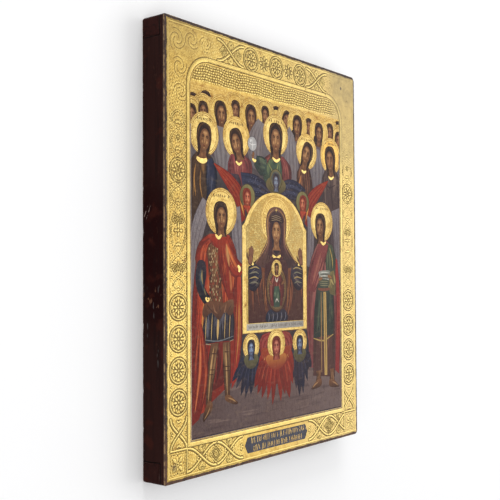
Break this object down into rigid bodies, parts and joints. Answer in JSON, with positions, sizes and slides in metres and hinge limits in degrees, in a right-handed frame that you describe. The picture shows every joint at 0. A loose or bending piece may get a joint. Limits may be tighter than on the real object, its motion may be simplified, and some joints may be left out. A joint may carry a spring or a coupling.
{
  "type": "icon panel",
  "caption": "Flat wooden icon panel with two end battens let into the back, and a gilded, painted gesso face framed by a border in low relief. Lies on its back.",
  "frame": {"origin": "middle of the back face, on the surface that the panel lies on", "axes": "+Z out of the painted face, +Y to the top of the picture, +X to the right of the picture as seen from the front"},
  "size_m": [0.27, 0.35, 0.0232],
  "materials": {
    "board_wood": "dark red-brown lacquer, worn and scratched; bare darkened wood on the back",
    "batten_wood": "dark red-brown lacquer on the ends, bare darkened wood on the back",
    "gilded_gesso": "chalk gesso with burnished gold leaf, a tooled border and egg tempera under old varnish"
  },
  "bodies": {
    "root": {"board": "board_wood", "top_batten": "batten_wood", "bottom_batten": "batten_wood", "gesso_face": "gilded_gesso"}
  },
  "joints": []
}
